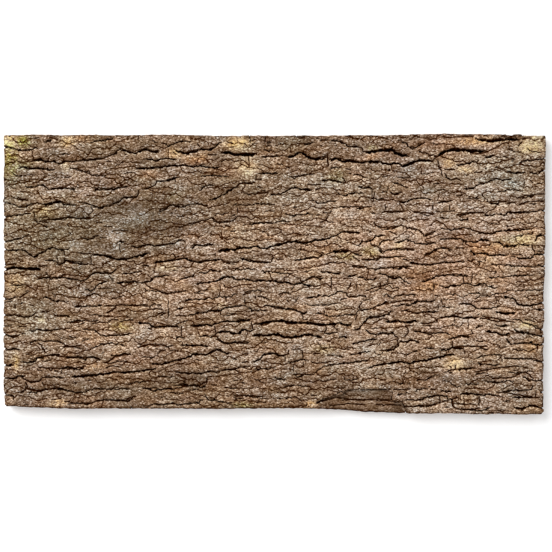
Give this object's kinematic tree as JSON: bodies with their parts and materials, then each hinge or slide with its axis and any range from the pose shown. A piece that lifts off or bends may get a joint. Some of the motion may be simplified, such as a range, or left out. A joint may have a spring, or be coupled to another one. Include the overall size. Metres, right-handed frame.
{
  "type": "cork bark slab",
  "caption": "Flat oblong slab of cork bark with a rough, fissured face, sawn sides and a flat back, for lining a terrarium wall or mounting plants.",
  "frame": {"origin": "middle of the flat back, which lies on the surface", "axes": "+X along the slab and its fissures, +Y across it, +Z out of the bark face"},
  "size_m": [0.6, 0.31, 0.0196],
  "materials": {
    "cork_bark": "raw, dry and rough bark"
  },
  "bodies": {
    "root": {"cork_bark_slab": "cork_bark"}
  },
  "joints": []
}
